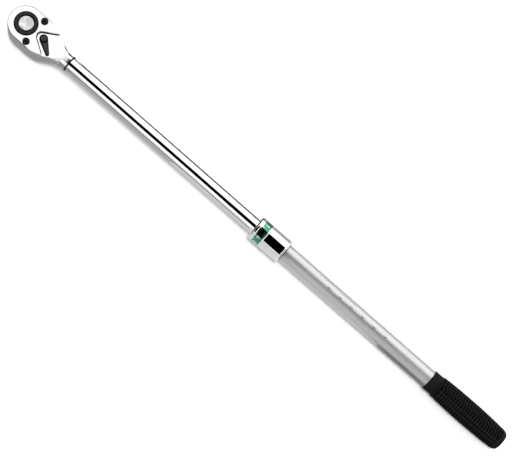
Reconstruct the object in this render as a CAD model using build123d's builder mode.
from build123d import *
import os
from math import cos, radians, sin, sqrt, tan

# Click-type torque wrench with a reversible ratchet head.
# The origin is the centre of the square drive, on the shoulder that a socket seats against.
# +X runs from the head to the grip, and +Z from the square to the head's back, with its lever.

os.makedirs("parts", exist_ok=True)

# Clearances, and how far a cut runs past the face that it opens
running_gap = 0.07
free_gap = 0.3
cavity_gap = 0.5
cut_margin = 1.0

# Square drive and its quick release
drive_size = 19.05
drive_length = 22.0
drive_chamfer = 1.2
ball_radius = 3.2
ball_proud = 1.2
ball_depth = 12.0
spindle_radius = 4.0
spindle_neck_radius = 2.6
spindle_neck_length = 3.5
spindle_taper_length = 2.5
spindle_taper_offset = 0.1
spindle_end_chamfer = 0.5
spindle_end_gap = 0.5
spindle_floor = 3.0
button_radius = 12.5
button_flange_radius = 14.2
button_flange_thickness = 2.1
button_proud = 0.8
button_dish = 0.5
button_dish_radius = 10.0
button_chamfer = 0.6
button_well_depth = 6.0
button_travel = 3.5
hub_inset = 0.5
release_spring_wire = 1.4
release_spring_turns = 5

# Ratchet head
head_radius = 31.0
head_bottom = 1.0
head_thickness = 40.25
head_straight_end = 28.0
shoulder_x = 56.0
shoulder_half_width = 24.0
drum_end = 41.0
drum_ramp_x = 56.0
drum_ramp_rise = 9.5
drum_ramp_slope = 0.25
neck_start = 84.0
neck_length = 12.4
neck_radius = 14.0
neck_round_length = 9.4
flare_x = 74.0
flare_radius = 18.8
flare_top_x = 60.0
flare_top_radius = 27.7
neck_flat_height = 13.25
floor_thickness = 12.0
edge_round = 2.0

# Cover plate, its screws and the seal ring round the button
plate_thickness = 3.75
plate_round = 1.0
horn_round = 1.8
notch_nose = 25.6
notch_half_angle = 32.7
notch_nose_radius = 9.2
bezel_radius = 20.9
bezel_inner_radius = 13.0
bezel_thickness = 2.4
bezel_round = 1.9
screw_x = 20.5
screw_y = 23.2
screw_head_radius = 5.9
screw_head_height = 2.6
screw_head_round = 1.8
screw_recess = 1.3
screw_radius = 3.0
screw_length = 11.0
screw_hole_depth = 12.0
screw_socket_size = 4.0
screw_socket_depth = 1.9

# Ratchet gear
gear_teeth = 36
gear_tip_radius = 22.0
tooth_depth = 1.8
tooth_tip_width = 1.0
tooth_root_width = 2.6
tooth_clearance = 0.15
gear_height = 24.7
journal_radius = 17.0
spring_bore_radius = 7.6
spring_bore_depth = 14.6

# Pawl
pawl_pivot_setback = 4.2
pawl_pin_radius = 2.0
pawl_pin_seat = 2.0
pawl_half_width = 11.0
pawl_tooth_reach = 4.0
pawl_back_depth = 6.3
pawl_pocket_back = 9.3
pawl_swing = 4.6
pawl_height = 20.5
pawl_relief_half_width = 5.5
pawl_pocket_half_width = 13.2
pocket_floor_gap = 1.0
pocket_height = 22.6

# Reverse lever
lever_setback = 12.9
lever_angle = 35.6
lever_hub_radius = 7.4
lever_tip_radius = 3.4
lever_reach = 29.0
lever_arm_height = 4.2
lever_arm_round = 1.9
lever_dome_height = 7.2
lever_dome_round = 3.2
lever_shaft_radius = 4.5
lever_shaft_seat = 6.0
lever_plunger_radius = 2.2
lever_plunger_reach = 9.0
lever_plunger_length = 7.5
lever_plunger_round = 1.9
lever_plunger_floor = 1.4
lever_spring_wire = 0.7
lever_spring_radius = 1.6
lever_spring_turns = 3
lever_clip_radius = 6.8
lever_clip_thickness = 1.0
lever_clip_depth = 0.6

# Main tube and the head's pivot in it
tube_radius = 13.45
tube_wall = 2.45
seal_thickness = 1.5
seal_proud = 0.1
seal_width = 3.8
seal_round = 0.45
mouth_gap = 0.7
pivot_setback = 21.6
pivot_pin_radius = 4.0
tang_boss_radius = 7.8
tang_half_width = 5.5
tang_length = 83.6
tang_clearance = 0.18

# Click mechanism in the tube
tilt_block_length = 6.65
tilt_block_gap = 0.35
tilt_block_half_width = 4.0
tilt_block_seat_radius = 5.0
tilt_block_height = 12.0
plunger_length = 29.0
plunger_lip = 1.0
plunger_spigot_length = 10.0
spacer_wall = 2.6
main_spring_wire = 4.2
main_spring_length = 306.0
main_spring_turns = 34
spring_seat_length = 12.0
thrust_ball_radius = 5.0
thrust_ball_depth = 2.1

# Micrometer screw
handle_feed = 40.0
feed_margin = 7.9
spindle_thread_radius = 7.0
cup_half_angle = 59.0
ball_cup_gap = 3.0
spindle_thread_length = 119.0
nut_length = 30.0
nut_inset = 5.0
nut_pin_radius = 2.0
nut_pin_gap = 1.0
thread_flange_radius = 9.5
thread_flange_thickness = 3.0
tail_radius = 6.0
tail_nut_flats = 18.0
tail_nut_thickness = 9.0
tail_over = 1.5

# Handle
sleeve_start = 537.5
sleeve_length = 512.5
sleeve_wall = 2.68
end_plug_length = 24.0
end_plug_setback = 20.1
plug_pin_radius = 2.5
plug_pin_gap = 0.5
grip_length = 160.4
grip_ring_wall = 1.9
grip_ring_length = 16.0
grip_ring_chamfer = 0.8
grip_notch_width = 1.7
grip_notch_wall = 1.0
grip_belly_wall = 5.1
grip_shoulder_wall = 3.2
grip_rear_round = 14.0
grip_rib_pitch = 5.3
grip_rib_gap = 1.5
grip_rib_depth = 1.1
grip_hole_radius = 12.0
grip_rear_wall = 9.0
end_cap_flange = 2.0
end_cap_recess = 1.0

# Lock collar
collar_overhang = 24.9
collar_height = 5.5
collar_front_height = 3.45
collar_front_round = 3.4
collar_rear_height = 1.0
collar_rear_round = 5.0
collar_lip = 5.4
collar_flange = 5.6
collar_groove = 0.8
round_run = 0.3
round_rise = 0.75
nose_length = 23.9
nose_thread_length = 8.5
nose_thread_height = 3.3
band_setback = 7.9
band_width = 15.2
band_depth = 0.5
band_under = 0.05
collet_length = 14.5
collet_rise = 1.8
collet_slit = 1.6
stop_ring_thickness = 2.5
stop_ring_height = 2.7
stop_ring_depth = 0.6
lock_spring_wire = 2.2
lock_spring_length = 24.0
lock_spring_turns = 5

# Places and sizes of the head that follow from those above
head_face = head_bottom + head_thickness
tube_axis_z = head_face - neck_flat_height
neck_end = neck_start + neck_length
plate_top = head_face + plate_thickness
gear_bottom = head_bottom + floor_thickness + free_gap
gear_root_radius = gear_tip_radius - tooth_depth
cavity_radius = gear_tip_radius + cavity_gap
hub_top = plate_top - hub_inset
button_seat = hub_top - button_well_depth
bezel_top = plate_top + bezel_thickness
button_top = bezel_top + button_proud
flange_top = plate_top - free_gap
flange_bottom = flange_top - button_flange_thickness
spindle_bore_radius = spindle_radius + running_gap
spindle_bore_bottom = spindle_floor - drive_length
spindle_bottom = spindle_bore_bottom + button_travel + spindle_end_gap
spring_floor = button_seat - spring_bore_depth
journal_bore_radius = journal_radius + running_gap
pocket_bottom = head_bottom + floor_thickness + pocket_floor_gap
pocket_top = pocket_bottom + pocket_height
pawl_pivot_x = gear_tip_radius + pawl_pivot_setback
pawl_bottom = pocket_bottom + free_gap
pawl_middle = pawl_bottom + pawl_height / 2
lever_x = pawl_pivot_x + lever_setback
lever_bottom = head_face + free_gap

# The tube, and radii that fit in it or over it
tube_start = neck_end + seal_thickness + mouth_gap
pivot_x = neck_end + pivot_setback
tang_end = neck_end + tang_length
tube_bore_radius = tube_radius - tube_wall
tube_slide_radius = tube_bore_radius - running_gap
tang_half_height = sqrt((tube_bore_radius - tang_clearance) ** 2 - tang_boss_radius**2)
spring_outer_radius = tube_slide_radius - free_gap
spigot_radius = spring_outer_radius - main_spring_wire - free_gap
seal_radius = neck_radius + seal_proud
seal_seat_radius = seal_radius - seal_width
sleeve_bore_radius = tube_radius + running_gap
sleeve_radius = sleeve_bore_radius + sleeve_wall

# The handle from its rear end forwards: grip, plug, screw, ball, seat and main spring
sleeve_end = sleeve_start + sleeve_length
grip_end = sleeve_end + end_cap_flange + grip_rear_wall
grip_start = grip_end - grip_length
grip_barrel_start = grip_start + grip_ring_length + grip_notch_width
grip_rear_x = grip_end - grip_rear_round
grip_belly_x = (grip_barrel_start + grip_rear_x) / 2
grip_belly_radius = sleeve_radius + grip_belly_wall
grip_shoulder_radius = sleeve_radius + grip_shoulder_wall
plug_end = sleeve_end - end_plug_setback
plug_start = plug_end - end_plug_length
tail_end = plug_end + tail_nut_thickness + tail_over
thread_end = plug_start - thread_flange_thickness
thread_start = thread_end - spindle_thread_length
tube_end = thread_end - handle_feed - feed_margin
nut_start = tube_end - nut_inset - nut_length
thrust_ball_x = thread_start - ball_cup_gap
seat_end = thrust_ball_x - thrust_ball_radius + thrust_ball_depth
spring_end = seat_end - spring_seat_length
spacer_end = spring_end - main_spring_length

# The click mechanism from the tang backwards: the spacer fills what is left before the spring
tilt_pivot_x = tang_end + tilt_block_gap + tilt_block_length
plunger_front = tilt_pivot_x - plunger_lip
plunger_end = plunger_front + plunger_length
spacer_length = spacer_end - plunger_end

# The lock collar round the sleeve's front
collar_front = sleeve_start - collar_overhang
collar_radius = sleeve_radius + collar_height
collar_front_radius = tube_radius + collar_front_height
collar_rear_radius = sleeve_radius + collar_rear_height
nose_end = collar_front + nose_length
nose_thread_end = nose_end + nose_thread_length
nose_thread_radius = sleeve_radius + nose_thread_height
band_start = collar_front + band_setback
collet_start = sleeve_start - collet_length
collet_front_radius = sleeve_radius + collet_rise
stop_ring_start = nose_thread_end + lock_spring_length
stop_ring_radius = sleeve_radius + stop_ring_height
flange_front = stop_ring_start + stop_ring_thickness + free_gap
collar_rear = flange_front + collar_flange

tube_axis = Axis((0, 0, tube_axis_z), (1, 0, 0))
along_x = Plane((0, 0, tube_axis_z), x_dir=(0, 1, 0), z_dir=(1, 0, 0))


def across(x):
    """The plane square to the tube's axis at x, with its origin on the axis."""
    return along_x.offset(x)


def coil_spring(mean_radius, wire, length, turns):
    """A compression spring that stands on the XY plane, along Z."""
    rise = length - wire
    with BuildPart() as coil:
        with BuildLine():
            path = Helix(rise / turns, rise, mean_radius, center=(0, 0, wire / 2))
        with BuildSketch(Plane(path @ 0, z_dir=path % 0)):
            Circle(wire / 2)
        sweep(is_frenet=True)
    return coil.part


def head_outline():
    """The head's plan as a face: a round nose, straight sides and shoulders that run in to the neck."""
    with BuildSketch() as plan:
        with BuildLine():
            nose = ThreePointArc((0, -head_radius), (-head_radius, 0), (0, head_radius))
            upper = Line(nose @ 1, (head_straight_end, head_radius))
            shoulder = Spline(
                upper @ 1,
                (shoulder_x, shoulder_half_width),
                (neck_start, neck_radius),
                tangents=((1, 0), (1, 0)),
            )
            side = Line(shoulder @ 1, (neck_end, neck_radius))
            end = Line(side @ 1, (neck_end, -neck_radius))
            lower_side = Line(end @ 1, (neck_start, -neck_radius))
            lower_shoulder = Spline(
                lower_side @ 1,
                (shoulder_x, -shoulder_half_width),
                (head_straight_end, -head_radius),
                tangents=((-1, 0), (-1, 0)),
            )
            Line(lower_shoulder @ 1, nose @ 0)
        make_face()
    return plan.sketch


def gear_outline(swell):
    """The ratchet gear's plan, with its teeth grown by swell all round."""
    root = gear_root_radius + swell
    tip = gear_tip_radius + swell
    with BuildSketch() as plan:
        Circle(root)
        with PolarLocations(0, gear_teeth):
            Polygon(
                (root - cut_margin, -tooth_root_width / 2 - swell),
                (root, -tooth_root_width / 2 - swell),
                (tip, -tooth_tip_width / 2 - swell),
                (tip, tooth_tip_width / 2 + swell),
                (root, tooth_root_width / 2 + swell),
                (root - cut_margin, tooth_root_width / 2 + swell),
                align=None,
            )
    return plan.sketch


# Forged head with its neck and tang
with BuildPart() as head_body:
    with BuildSketch(Plane.XY.offset(head_bottom)):
        add(head_outline())
    extrude(amount=head_thickness)
    # side view: a deep drum for the gear that rises to the slimmer neck
    with BuildSketch(Plane.XZ):
        with BuildLine():
            floor = Line((-head_radius, head_bottom), (drum_end, head_bottom))
            ramp = Spline(
                floor @ 1,
                (drum_ramp_x, head_bottom + drum_ramp_rise),
                (neck_start, tube_axis_z - neck_radius),
                tangents=((1, drum_ramp_slope), (1, 0)),
            )
            under = Line(ramp @ 1, (neck_end, tube_axis_z - neck_radius))
            Polyline(
                under @ 1,
                (neck_end, head_face),
                (-head_radius, head_face),
                floor @ 0,
            )
        make_face()
    extrude(amount=head_radius, both=True, mode=Mode.INTERSECT)
    # round the neck to the tube's section
    with BuildSketch(Plane.XZ):
        with BuildLine():
            back = Line((neck_end, tube_axis_z), (neck_end, tube_axis_z + neck_radius))
            barrel = Line(back @ 1, (neck_end - neck_round_length, tube_axis_z + neck_radius))
            flare = Spline(
                barrel @ 1,
                (flare_x, tube_axis_z + flare_radius),
                (flare_top_x, tube_axis_z + flare_top_radius),
                tangents=((-1, 0), (-1, 1)),
            )
            Polyline(
                flare @ 1,
                (drum_end, tube_axis_z + 2 * head_radius),
                (-head_radius - cut_margin, tube_axis_z + 2 * head_radius),
                (-head_radius - cut_margin, tube_axis_z),
                back @ 0,
            )
        make_face()
    revolve(axis=tube_axis, mode=Mode.INTERSECT)
    fillet(head_body.faces().sort_by(Axis.Z)[0].outer_wire().edges(), edge_round)
    # seat of the neck seal, and the tang with its pivot boss
    with BuildSketch(across(neck_end)):
        Circle(seal_seat_radius)
    extrude(amount=seal_thickness + running_gap)
    with BuildSketch(across(neck_end)):
        Rectangle(2 * tang_half_width, 2 * tang_half_height)
    extrude(amount=tang_end - neck_end)
    with BuildSketch(Plane((pivot_x, 0, tube_axis_z))):
        Circle(tang_boss_radius)
    extrude(amount=tang_half_height, both=True)
    with BuildSketch(Plane((pivot_x, 0, tube_axis_z))):
        Circle(pivot_pin_radius + running_gap)
    extrude(amount=tang_half_height + cut_margin, both=True, mode=Mode.SUBTRACT)
    # gear cavity and the drive's lower bearing
    with BuildSketch(Plane.XY.offset(head_bottom + floor_thickness)):
        Circle(cavity_radius)
    extrude(amount=head_thickness, mode=Mode.SUBTRACT)
    with BuildSketch(Plane.XY.offset(head_bottom)):
        Circle(journal_bore_radius)
    extrude(amount=floor_thickness, mode=Mode.SUBTRACT)
    # pawl pocket under a web, with room for the lever's shaft and plunger
    with BuildSketch(Plane.XY.offset(pocket_bottom)):
        with Locations((pawl_pivot_x, 0)):
            Rectangle(2 * pawl_pocket_back, 2 * pawl_pocket_half_width)
        with Locations((lever_x, 0)):
            Circle(lever_plunger_reach + 2 * free_gap)
    extrude(amount=pocket_height, mode=Mode.SUBTRACT)
    with BuildSketch(Plane.XY.offset(pocket_bottom - lever_shaft_seat)):
        with Locations((lever_x, 0)):
            Circle(lever_shaft_radius + running_gap)
    extrude(amount=head_thickness, mode=Mode.SUBTRACT)
    with BuildSketch(Plane.XY.offset(head_bottom)):
        with Locations((pawl_pivot_x, 0)):
            Circle(pawl_pin_radius)
    extrude(amount=pocket_top + pawl_pin_seat - head_bottom, mode=Mode.SUBTRACT)
    # tapped holes of the cover screws
    with BuildSketch(Plane.XY.offset(head_face)):
        with Locations((screw_x, screw_y), (screw_x, -screw_y)):
            Circle(screw_radius)
    extrude(amount=-screw_hole_depth, mode=Mode.SUBTRACT)
head_body.part.label = "head_body"
export_step(head_body.part, "parts/head_body.step")

# Cover plate with a rounded V notch for the lever
with BuildPart() as cover_plate:
    with BuildSketch(Plane.XY.offset(head_face)) as cover_plate_plan:
        add(head_outline())
        notch_apex = notch_nose - notch_nose_radius * (1 / sin(radians(notch_half_angle)) - 1)
        notch_spread = (neck_end - notch_apex) * tan(radians(notch_half_angle))
        with BuildSketch(mode=Mode.PRIVATE) as notch:
            Polygon(
                (notch_apex, 0),
                (neck_end, notch_spread),
                (neck_end, -notch_spread),
                align=None,
            )
            fillet(notch.vertices().sort_by(Axis.X)[0], notch_nose_radius)
        add(notch.sketch, mode=Mode.SUBTRACT)
        horn_tips = cover_plate_plan.vertices().group_by(Axis.X)[-1]
        fillet(horn_tips, horn_round)
        Circle(journal_bore_radius, mode=Mode.SUBTRACT)
    extrude(amount=plate_thickness)
    top_rim = cover_plate.faces().sort_by(Axis.Z)[-1].outer_wire().edges()
    fillet(top_rim, plate_round)
    with Locations(Plane.XY.offset(plate_top)):
        with Locations((screw_x, screw_y), (screw_x, -screw_y)):
            CounterBoreHole(screw_radius + free_gap, screw_head_radius + free_gap, screw_recess)
cover_plate.part.label = "cover_plate"
export_step(cover_plate.part, "parts/cover_plate.step")

# Two button-head screws that hold the plate down
with BuildPart() as cover_screws:
    screw_seat = plate_top - screw_recess
    with BuildSketch(Plane.XY.offset(screw_seat)):
        with Locations((screw_x, screw_y), (screw_x, -screw_y)):
            Circle(screw_head_radius)
    extrude(amount=screw_head_height)
    head_rims = cover_screws.edges().group_by(Axis.Z)[-1]
    fillet(head_rims, screw_head_round)
    with BuildSketch(Plane.XY.offset(screw_seat)):
        with Locations((screw_x, screw_y), (screw_x, -screw_y)):
            Circle(screw_radius)
    extrude(amount=head_face - screw_length - screw_seat)
    with BuildSketch(Plane.XY.offset(screw_seat + screw_head_height)):
        with Locations((screw_x, screw_y), (screw_x, -screw_y)):
            RegularPolygon(screw_socket_size / 2, 6, major_radius=False)
    extrude(amount=-screw_socket_depth, mode=Mode.SUBTRACT)
cover_screws.part.label = "cover_screws"
export_step(cover_screws.part, "parts/cover_screws.step")

# Seal ring round the button, lying on the plate
with BuildPart() as bezel_ring:
    with BuildSketch(Plane.XY.offset(plate_top)):
        Circle(bezel_radius)
        Circle(bezel_inner_radius, mode=Mode.SUBTRACT)
    extrude(amount=bezel_thickness)
    ring_rims = bezel_ring.edges().group_by(Axis.Z)[-1]
    fillet(ring_rims, bezel_round)
bezel_ring.part.label = "bezel_ring"
export_step(bezel_ring.part, "parts/bezel_ring.step")

# Ratchet gear with its journals and the square drive
with BuildPart() as drive_gear:
    with BuildSketch(Plane.XY.offset(gear_bottom)):
        add(gear_outline(0))
    extrude(amount=gear_height)
    with BuildSketch():
        Circle(journal_radius)
    extrude(amount=hub_top)
    with BuildSketch():
        Rectangle(drive_size, drive_size)
    extrude(amount=-drive_length)
    corners = drive_gear.edges().filter_by(Axis.Z).filter_by_position(Axis.Z, -drive_length, 0)
    chamfer(corners, drive_chamfer)
    tip_face = drive_gear.faces().sort_by(Axis.Z)[0]
    chamfer(tip_face.edges(), drive_chamfer)
    with BuildSketch(Plane.XY.offset(button_seat)):
        Circle(button_flange_radius + free_gap)
    extrude(amount=hub_top - button_seat, mode=Mode.SUBTRACT)
    with BuildSketch(Plane.XY.offset(spring_floor)):
        Circle(spring_bore_radius)
    extrude(amount=spring_bore_depth, mode=Mode.SUBTRACT)
    with BuildSketch(Plane.XY.offset(spindle_bore_bottom)):
        Circle(spindle_bore_radius)
    extrude(amount=hub_top, mode=Mode.SUBTRACT)
    with BuildSketch(Plane.YZ):
        with Locations((0, -ball_depth)):
            Circle(ball_radius + running_gap)
    extrude(amount=-drive_size, mode=Mode.SUBTRACT)
drive_gear.part.label = "drive_gear"
export_step(drive_gear.part, "parts/drive_gear.step")

# Quick release: button, spindle with a tapered neck, spring and ball
with BuildPart() as release_button:
    with BuildSketch(Plane.XY.offset(flange_bottom)):
        Circle(button_flange_radius)
    extrude(amount=button_flange_thickness)
    with BuildSketch(Plane.XY.offset(flange_bottom)):
        Circle(button_radius)
    extrude(amount=button_top - flange_bottom)
    button_rim = release_button.edges().sort_by(Axis.Z)[-1]
    chamfer(button_rim, button_chamfer)
    with BuildSketch(Plane.XY.offset(button_top)):
        Circle(button_dish_radius)
    extrude(amount=-button_dish, taper=45, mode=Mode.SUBTRACT)
    with BuildSketch(Plane.XY.offset(flange_bottom)):
        Circle(spindle_radius)
    extrude(amount=button_flange_thickness, mode=Mode.SUBTRACT)
release_button.part.label = "release_button"
export_step(release_button.part, "parts/release_button.step")

taper_start = spindle_taper_offset - ball_depth
taper_end = taper_start + spindle_taper_length
neck_top = taper_end + spindle_neck_length
with BuildPart() as release_spindle:
    with BuildSketch(Plane.XZ):
        Polygon(
            (0, spindle_bottom),
            (spindle_radius - spindle_end_chamfer, spindle_bottom),
            (spindle_radius, spindle_bottom + spindle_end_chamfer),
            (spindle_radius, taper_start),
            (spindle_neck_radius, taper_end),
            (spindle_neck_radius, neck_top),
            (spindle_radius, neck_top + spindle_taper_length),
            (spindle_radius, flange_top),
            (0, flange_top),
            align=None,
        )
    revolve(axis=Axis.Z)
release_spindle.part.label = "release_spindle"
export_step(release_spindle.part, "parts/release_spindle.step")

with BuildPart() as release_spring:
    release_coil_radius = (spindle_radius + spring_bore_radius) / 2
    release_coil = coil_spring(
        release_coil_radius, release_spring_wire, flange_bottom - spring_floor, release_spring_turns
    )
    with Locations((0, 0, spring_floor)):
        add(release_coil)
release_spring.part.label = "release_spring"
export_step(release_spring.part, "parts/release_spring.step")

ball_x = ball_radius - ball_proud - drive_size / 2
with BuildPart() as detent_ball:
    with Locations((ball_x, 0, -ball_depth)):
        Sphere(ball_radius)
detent_ball.part.label = "detent_ball"
export_step(detent_ball.part, "parts/detent_ball.step")

# Rocking pawl: its teeth are the gear's own spaces, cut at both ends of its swing
with BuildPart() as pawl:
    pawl_axis = Axis((pawl_pivot_x, 0, 0), (0, 0, 1))
    tooth_cutter = gear_outline(tooth_clearance)
    pawl_front_x = gear_root_radius - pawl_tooth_reach
    pawl_back_x = pawl_pivot_x + pawl_back_depth
    with BuildSketch(mode=Mode.PRIVATE) as plunger_sweep:
        with Locations((lever_x, 0)):
            Circle(lever_plunger_reach + free_gap)
    with BuildSketch(Plane.XY.offset(pawl_bottom)):
        with Locations((pawl_front_x, 0)):
            Rectangle(pawl_back_x - pawl_front_x, 2 * pawl_half_width, align=(Align.MIN, Align.CENTER))
        for turn in (-pawl_swing, -pawl_swing / 2, 0, pawl_swing / 2, pawl_swing):
            add(tooth_cutter.rotate(pawl_axis, turn), mode=Mode.SUBTRACT)
            add(plunger_sweep.sketch.rotate(pawl_axis, turn), mode=Mode.SUBTRACT)
        with BuildSketch(mode=Mode.PRIVATE) as relief:
            Circle(cavity_radius)
            Rectangle(4 * gear_tip_radius, 2 * pawl_relief_half_width, mode=Mode.INTERSECT)
        add(relief.sketch, mode=Mode.SUBTRACT)
        with Locations((pawl_pivot_x, 0)):
            Circle(pawl_pin_radius + running_gap, mode=Mode.SUBTRACT)
    extrude(amount=pawl_height)
pawl_at_rest = pawl.part.rotate(pawl_axis, pawl_swing)
pawl_at_rest.label = "pawl"
export_step(pawl_at_rest, "parts/pawl.step")

with BuildPart() as pawl_pin:
    with BuildSketch(Plane.XY.offset(head_bottom)):
        with Locations((pawl_pivot_x, 0)):
            Circle(pawl_pin_radius)
    extrude(amount=pocket_top + pawl_pin_seat - head_bottom)
pawl_pin.part.label = "pawl_pin"
export_step(pawl_pin.part, "parts/pawl_pin.step")

# Reverse lever on a shaft that carries a sprung plunger opposite the arm
lever_plane = Plane((lever_x, 0, 0), x_dir=(cos(radians(lever_angle)), -sin(radians(lever_angle)), 0))
lever_shaft_bottom = pocket_bottom - lever_shaft_seat + free_gap
clip_top = pocket_top - 2 * free_gap
with BuildPart() as reverse_lever:
    with BuildSketch(lever_plane.offset(lever_bottom)):
        Circle(lever_hub_radius)
        with Locations((lever_reach - lever_tip_radius, 0)):
            Circle(lever_tip_radius)
        make_hull()
    extrude(amount=lever_arm_height)
    fillet(reverse_lever.edges().group_by(Axis.Z)[-1], lever_arm_round)
    with BuildSketch(lever_plane.offset(lever_bottom)):
        Circle(lever_hub_radius)
    extrude(amount=lever_dome_height)
    fillet(reverse_lever.edges().group_by(Axis.Z)[-1], lever_dome_round)
    with BuildSketch(lever_plane.offset(lever_shaft_bottom)):
        Circle(lever_shaft_radius)
    extrude(amount=lever_bottom - lever_shaft_bottom)
    with BuildSketch(lever_plane.offset(clip_top - lever_clip_thickness)):
        Circle(lever_shaft_radius)
        Circle(lever_shaft_radius - lever_clip_depth, mode=Mode.SUBTRACT)
    extrude(amount=lever_clip_thickness, mode=Mode.SUBTRACT)
    plunger_plane = Plane((lever_x, 0, pawl_middle), z_dir=-lever_plane.x_dir)
    plunger_hole_end = lever_plunger_floor - lever_shaft_radius
    with BuildSketch(plunger_plane.offset(plunger_hole_end)):
        Circle(lever_plunger_radius + running_gap)
    extrude(amount=2 * lever_shaft_radius, mode=Mode.SUBTRACT)
reverse_lever.part.label = "reverse_lever"
export_step(reverse_lever.part, "parts/reverse_lever.step")

with BuildPart() as pawl_plunger:
    with BuildSketch(plunger_plane.offset(lever_plunger_reach)):
        Circle(lever_plunger_radius)
    extrude(amount=-lever_plunger_length)
    plunger_nose = pawl_plunger.faces().sort_by(Axis(plunger_plane.origin, plunger_plane.z_dir))[-1]
    fillet(plunger_nose.edges(), lever_plunger_round)
pawl_plunger.part.label = "pawl_plunger"
export_step(pawl_plunger.part, "parts/pawl_plunger.step")

pawl_spring_length = lever_plunger_reach - lever_plunger_length - plunger_hole_end
pawl_coil = coil_spring(lever_spring_radius, lever_spring_wire, pawl_spring_length, lever_spring_turns)
pawl_spring = plunger_plane.offset(plunger_hole_end).location * pawl_coil
pawl_spring.label = "pawl_spring"
export_step(pawl_spring, "parts/pawl_spring.step")

with BuildPart() as lever_clip:
    with BuildSketch(lever_plane.offset(clip_top - lever_clip_thickness)):
        Circle(lever_clip_radius)
        Circle(lever_shaft_radius - lever_clip_depth, mode=Mode.SUBTRACT)
        with Locations((lever_clip_radius, 0)):
            Rectangle(2 * lever_clip_radius, lever_shaft_radius, mode=Mode.SUBTRACT)
    extrude(amount=lever_clip_thickness)
lever_clip.part.label = "lever_clip"
export_step(lever_clip.part, "parts/lever_clip.step")

# Rubber seal between the neck and the tube's mouth
with BuildPart() as neck_seal:
    with BuildSketch(across(neck_end)):
        Circle(seal_radius)
        Circle(seal_seat_radius, mode=Mode.SUBTRACT)
    extrude(amount=seal_thickness)
    fillet(neck_seal.edges().filter_by(GeomType.CIRCLE).sort_by(SortBy.RADIUS)[-2:], seal_round)
neck_seal.part.label = "neck_seal"
export_step(neck_seal.part, "parts/neck_seal.step")

# Main tube, with holes for the pivot pin and the nut's pins
with BuildPart() as main_tube:
    with BuildSketch(across(tube_start)):
        Circle(tube_radius)
        Circle(tube_bore_radius, mode=Mode.SUBTRACT)
    extrude(amount=tube_end - tube_start)
    with BuildSketch(Plane((pivot_x, 0, tube_axis_z))):
        Circle(pivot_pin_radius)
    extrude(amount=tube_radius + cut_margin, both=True, mode=Mode.SUBTRACT)
    nut_pin_plane = Plane((nut_start + nut_length / 2, 0, tube_axis_z))
    with BuildSketch(nut_pin_plane):
        Circle(nut_pin_radius)
    extrude(amount=tube_radius + cut_margin, both=True, mode=Mode.SUBTRACT)
main_tube.part.label = "main_tube"
export_step(main_tube.part, "parts/main_tube.step")

with BuildPart() as pivot_pin:
    with BuildSketch(Plane((pivot_x, 0, tube_axis_z))):
        Circle(pivot_pin_radius)
    extrude(amount=tube_radius + cut_margin, both=True)
    with BuildSketch(across(tube_start)):
        Circle(tube_radius)
    extrude(amount=tang_end - tube_start, mode=Mode.INTERSECT)
pivot_pin.part.label = "pivot_pin"
export_step(pivot_pin.part, "parts/pivot_pin.step")

# Click mechanism: a block that tips, and the sprung plunger behind it
with BuildPart() as tilt_block:
    with BuildSketch(Plane((tilt_pivot_x, 0, tube_axis_z))):
        Circle(tilt_block_seat_radius)
        Rectangle(tilt_block_length, 2 * tilt_block_half_width, align=(Align.MAX, Align.CENTER))
    extrude(amount=tilt_block_height / 2, both=True)
tilt_block.part.label = "tilt_block"
export_step(tilt_block.part, "parts/tilt_block.step")

with BuildPart() as plunger:
    with BuildSketch(across(plunger_front)):
        Circle(tube_slide_radius)
    extrude(amount=plunger_length)
    with BuildSketch(across(plunger_end)):
        Circle(spigot_radius)
    extrude(amount=plunger_spigot_length)
    with BuildSketch(Plane((tilt_pivot_x, 0, tube_axis_z))):
        Circle(tilt_block_seat_radius + free_gap)
    extrude(amount=tilt_block_height / 2 + free_gap, both=True, mode=Mode.SUBTRACT)
plunger.part.label = "plunger"
export_step(plunger.part, "parts/plunger.step")

with BuildPart() as spacer_tube:
    with BuildSketch(across(plunger_end)):
        Circle(tube_slide_radius)
        Circle(tube_slide_radius - spacer_wall, mode=Mode.SUBTRACT)
    extrude(amount=spacer_length)
spacer_tube.part.label = "spacer_tube"
export_step(spacer_tube.part, "parts/spacer_tube.step")

main_coil = coil_spring(
    spring_outer_radius - main_spring_wire / 2, main_spring_wire, main_spring_length, main_spring_turns
)
main_spring = across(spacer_end).location * main_coil
main_spring.label = "main_spring"
export_step(main_spring, "parts/main_spring.step")

with BuildPart() as spring_seat:
    with BuildSketch(across(spring_end)):
        Circle(tube_slide_radius)
    extrude(amount=spring_seat_length)
    with BuildSketch(across(spring_end)):
        Circle(spigot_radius)
    extrude(amount=-spring_seat_length)
    with Locations((thrust_ball_x, 0, tube_axis_z)):
        Sphere(thrust_ball_radius, mode=Mode.SUBTRACT)
spring_seat.part.label = "spring_seat"
export_step(spring_seat.part, "parts/spring_seat.step")

with BuildPart() as thrust_ball:
    with Locations((thrust_ball_x, 0, tube_axis_z)):
        Sphere(thrust_ball_radius)
thrust_ball.part.label = "thrust_ball"
export_step(thrust_ball.part, "parts/thrust_ball.step")

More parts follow.
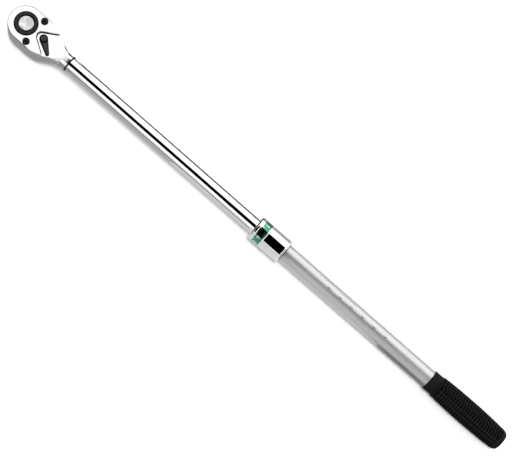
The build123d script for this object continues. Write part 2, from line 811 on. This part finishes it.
# Micrometer screw with a conical cup for the ball, its nut in the tube, and the plug that joins the
# screw to the sleeve
cup_apex_x = thrust_ball_x + (thrust_ball_radius + free_gap) / sin(radians(cup_half_angle))
cup_radius = (cup_apex_x - thread_start) * tan(radians(cup_half_angle))
with BuildPart() as adjusting_screw:
    with BuildSketch(Plane.XZ):
        Polygon(
            (cup_apex_x, tube_axis_z),
            (thread_start, tube_axis_z + cup_radius),
            (thread_start, tube_axis_z + spindle_thread_radius),
            (thread_end, tube_axis_z + spindle_thread_radius),
            (thread_end, tube_axis_z + thread_flange_radius),
            (plug_start, tube_axis_z + thread_flange_radius),
            (plug_start, tube_axis_z + tail_radius),
            (tail_end, tube_axis_z + tail_radius),
            (tail_end, tube_axis_z),
            align=None,
        )
    revolve(axis=tube_axis)
adjusting_screw.part.label = "adjusting_screw"
export_step(adjusting_screw.part, "parts/adjusting_screw.step")

with BuildPart() as fixed_nut:
    with BuildSketch(across(nut_start)):
        Circle(tube_bore_radius)
        Circle(spindle_thread_radius + running_gap, mode=Mode.SUBTRACT)
    extrude(amount=nut_length)
    with BuildSketch(nut_pin_plane):
        Circle(nut_pin_radius)
    extrude(amount=tube_radius + cut_margin, both=True, mode=Mode.SUBTRACT)
fixed_nut.part.label = "fixed_nut"
export_step(fixed_nut.part, "parts/fixed_nut.step")

with BuildPart() as nut_pins:
    with BuildSketch(nut_pin_plane):
        Circle(nut_pin_radius)
    extrude(amount=tube_radius + cut_margin, both=True)
    with BuildSketch(across(nut_start)):
        Circle(tube_radius - running_gap)
        Circle(spindle_thread_radius + nut_pin_gap, mode=Mode.SUBTRACT)
    extrude(amount=nut_length, mode=Mode.INTERSECT)
nut_pins.part.label = "nut_pins"
export_step(nut_pins.part, "parts/nut_pins.step")

with BuildPart() as end_plug:
    with BuildSketch(across(plug_start)):
        Circle(sleeve_bore_radius)
        Circle(tail_radius, mode=Mode.SUBTRACT)
    extrude(amount=end_plug_length)
    plug_pin_plane = Plane((plug_start + end_plug_length / 2, 0, tube_axis_z))
    with BuildSketch(plug_pin_plane):
        Circle(plug_pin_radius)
    extrude(amount=sleeve_radius, both=True, mode=Mode.SUBTRACT)
end_plug.part.label = "end_plug"
export_step(end_plug.part, "parts/end_plug.step")

with BuildPart() as plug_pins:
    with BuildSketch(plug_pin_plane):
        Circle(plug_pin_radius)
    extrude(amount=sleeve_radius, both=True)
    with BuildSketch(across(plug_start)):
        Circle(sleeve_radius - free_gap)
        Circle(tail_radius + plug_pin_gap, mode=Mode.SUBTRACT)
    extrude(amount=end_plug_length, mode=Mode.INTERSECT)
plug_pins.part.label = "plug_pins"
export_step(plug_pins.part, "parts/plug_pins.step")

with BuildPart() as tail_nut:
    with BuildSketch(across(plug_end)):
        RegularPolygon(tail_nut_flats / 2, 6, major_radius=False)
        Circle(tail_radius, mode=Mode.SUBTRACT)
    extrude(amount=tail_nut_thickness)
tail_nut.part.label = "tail_nut"
export_step(tail_nut.part, "parts/tail_nut.step")

# Handle sleeve, with a groove for the collar's stop ring
with BuildPart() as handle_sleeve:
    with BuildSketch(across(sleeve_start)):
        Circle(sleeve_radius)
        Circle(sleeve_bore_radius, mode=Mode.SUBTRACT)
    extrude(amount=sleeve_end - sleeve_start)
    with BuildSketch(across(stop_ring_start)):
        Circle(sleeve_radius + cut_margin)
        Circle(sleeve_radius - stop_ring_depth, mode=Mode.SUBTRACT)
    extrude(amount=stop_ring_thickness, mode=Mode.SUBTRACT)
    with BuildSketch(plug_pin_plane):
        Circle(plug_pin_radius)
    extrude(amount=sleeve_radius + cut_margin, both=True, mode=Mode.SUBTRACT)
handle_sleeve.part.label = "handle_sleeve"
export_step(handle_sleeve.part, "parts/handle_sleeve.step")


def barrel_radius(x):
    """The grip's radius at x, on the arc of its barrel."""
    half_length = grip_rear_x - grip_belly_x
    fall = grip_belly_radius - grip_shoulder_radius
    arc_radius = (half_length**2 + fall**2) / (2 * fall)
    return grip_belly_radius - arc_radius + sqrt(arc_radius**2 - (x - grip_belly_x) ** 2)


# Barrel-shaped grip with ribs round it
grip_ring_radius = sleeve_radius + grip_ring_wall
grip_notch_radius = sleeve_radius + grip_notch_wall
with BuildPart() as grip:
    with BuildSketch(Plane.XZ):
        with BuildLine():
            bore = Line(
                (grip_end - grip_rear_wall, tube_axis_z + sleeve_radius),
                (grip_start, tube_axis_z + sleeve_radius),
            )
            front = Polyline(
                bore @ 1,
                (grip_start, tube_axis_z + grip_ring_radius - grip_ring_chamfer),
                (grip_start + grip_ring_chamfer, tube_axis_z + grip_ring_radius),
                (grip_start + grip_ring_length, tube_axis_z + grip_ring_radius),
                (grip_start + grip_ring_length, tube_axis_z + grip_notch_radius),
                (grip_barrel_start, tube_axis_z + grip_notch_radius),
                (grip_barrel_start, tube_axis_z + barrel_radius(grip_barrel_start)),
            )
            belly = ThreePointArc(
                front @ 1,
                (grip_belly_x, tube_axis_z + grip_belly_radius),
                (grip_rear_x, tube_axis_z + barrel_radius(grip_rear_x)),
            )
            shoulder_end = (grip_end, tube_axis_z + grip_hole_radius)
            rounded = TangentArc(belly @ 1, shoulder_end, tangent=belly % 1)
            Polyline(
                rounded @ 1,
                (grip_end - grip_rear_wall, tube_axis_z + grip_hole_radius),
                bore @ 0,
            )
        make_face()
    revolve(axis=tube_axis)
    # ribs: grooves of one depth that follow the barrel
    rib_rows = int((grip_rear_x - grip_barrel_start) / grip_rib_pitch)
    for row in range(1, rib_rows + 1):
        gap_x = grip_barrel_start + row * grip_rib_pitch - grip_rib_gap
        with BuildSketch(across(gap_x)):
            Circle(grip_belly_radius + cut_margin)
            Circle(barrel_radius(gap_x) - grip_rib_depth, mode=Mode.SUBTRACT)
        extrude(amount=grip_rib_gap, mode=Mode.SUBTRACT)
grip.part.label = "grip"
export_step(grip.part, "parts/grip.step")

with BuildPart() as end_cap:
    with BuildSketch(across(grip_end - grip_rear_wall)):
        Circle(grip_hole_radius)
    extrude(amount=grip_rear_wall - end_cap_recess)
    with BuildSketch(across(sleeve_end)):
        Circle(sleeve_radius - free_gap)
    extrude(amount=end_cap_flange)
end_cap.part.label = "end_cap"
export_step(end_cap.part, "parts/end_cap.step")


# Lock collar: a nose with the coloured band, screwed into a barrel that surrounds the sleeve's front
with BuildPart() as collar_nose:
    with BuildSketch(Plane.XZ):
        with BuildLine():
            rounded_front = ThreePointArc(
                (collar_front, tube_axis_z + collar_front_radius),
                (
                    collar_front + round_run * collar_front_round,
                    tube_axis_z + collar_front_radius + round_rise * (collar_radius - collar_front_radius),
                ),
                (collar_front + collar_front_round, tube_axis_z + collar_radius),
            )
            Polyline(
                rounded_front @ 1,
                (nose_end, tube_axis_z + collar_radius),
                (nose_end, tube_axis_z + nose_thread_radius),
                (nose_thread_end, tube_axis_z + nose_thread_radius),
                (nose_thread_end, tube_axis_z + sleeve_radius + free_gap),
                (sleeve_start, tube_axis_z + sleeve_radius + free_gap),
                (collet_start, tube_axis_z + collet_front_radius + free_gap),
                (collar_front + collar_lip, tube_axis_z + collet_front_radius + free_gap),
                (collar_front + collar_lip, tube_axis_z + tube_radius + free_gap),
                (collar_front, tube_axis_z + tube_radius + free_gap),
                rounded_front @ 0,
            )
        make_face()
    revolve(axis=tube_axis)
    with BuildSketch(across(band_start)):
        Circle(collar_radius + cut_margin)
        Circle(collar_radius - band_depth, mode=Mode.SUBTRACT)
    extrude(amount=band_width, mode=Mode.SUBTRACT)
collar_nose.part.label = "collar_nose"
export_step(collar_nose.part, "parts/collar_nose.step")

with BuildPart() as colour_band:
    with BuildSketch(across(band_start)):
        Circle(collar_radius - band_under)
        Circle(collar_radius - band_depth, mode=Mode.SUBTRACT)
    extrude(amount=band_width)
colour_band.part.label = "colour_band"
export_step(colour_band.part, "parts/colour_band.step")

with BuildPart() as collar_barrel:
    with BuildSketch(Plane.XZ):
        with BuildLine():
            barrel_front = nose_end + collar_groove
            rounded_rear = ThreePointArc(
                (collar_rear - collar_rear_round, tube_axis_z + collar_radius),
                (
                    collar_rear - round_run * collar_rear_round,
                    tube_axis_z + collar_rear_radius + round_rise * (collar_radius - collar_rear_radius),
                ),
                (collar_rear, tube_axis_z + collar_rear_radius),
            )
            Polyline(
                rounded_rear @ 1,
                (collar_rear, tube_axis_z + sleeve_radius + running_gap),
                (flange_front, tube_axis_z + sleeve_radius + running_gap),
                (flange_front, tube_axis_z + nose_thread_radius),
                (barrel_front, tube_axis_z + nose_thread_radius),
                (barrel_front, tube_axis_z + collar_radius),
                rounded_rear @ 0,
            )
        make_face()
    revolve(axis=tube_axis)
collar_barrel.part.label = "collar_barrel"
export_step(collar_barrel.part, "parts/collar_barrel.step")

# Split collet that the collar's cone squeezes on the tube, with the collar's spring and stop
with BuildPart() as split_collet:
    with BuildSketch(Plane.XZ):
        Polygon(
            (collet_start, tube_axis_z + tube_radius + running_gap),
            (collet_start, tube_axis_z + collet_front_radius),
            (sleeve_start, tube_axis_z + sleeve_radius),
            (sleeve_start, tube_axis_z + tube_radius + running_gap),
            align=None,
        )
    revolve(axis=tube_axis)
    with BuildSketch(across(collet_start)):
        with Locations((0, -collar_radius / 2)):
            Rectangle(collet_slit, collar_radius)
    extrude(amount=sleeve_start - collet_start, mode=Mode.SUBTRACT)
split_collet.part.label = "split_collet"
export_step(split_collet.part, "parts/split_collet.step")

with BuildPart() as stop_ring:
    with BuildSketch(across(stop_ring_start)):
        Circle(stop_ring_radius)
        Circle(sleeve_radius - stop_ring_depth, mode=Mode.SUBTRACT)
        with Locations((0, -stop_ring_radius)):
            Rectangle(4 * stop_ring_thickness, stop_ring_radius, mode=Mode.SUBTRACT)
    extrude(amount=stop_ring_thickness)
stop_ring.part.label = "stop_ring"
export_step(stop_ring.part, "parts/stop_ring.step")

lock_coil_radius = (sleeve_radius + nose_thread_radius) / 2
lock_coil = coil_spring(
    lock_coil_radius, lock_spring_wire, stop_ring_start - nose_thread_end, lock_spring_turns
)
lock_spring = across(nose_thread_end).location * lock_coil
lock_spring.label = "lock_spring"
export_step(lock_spring, "parts/lock_spring.step")
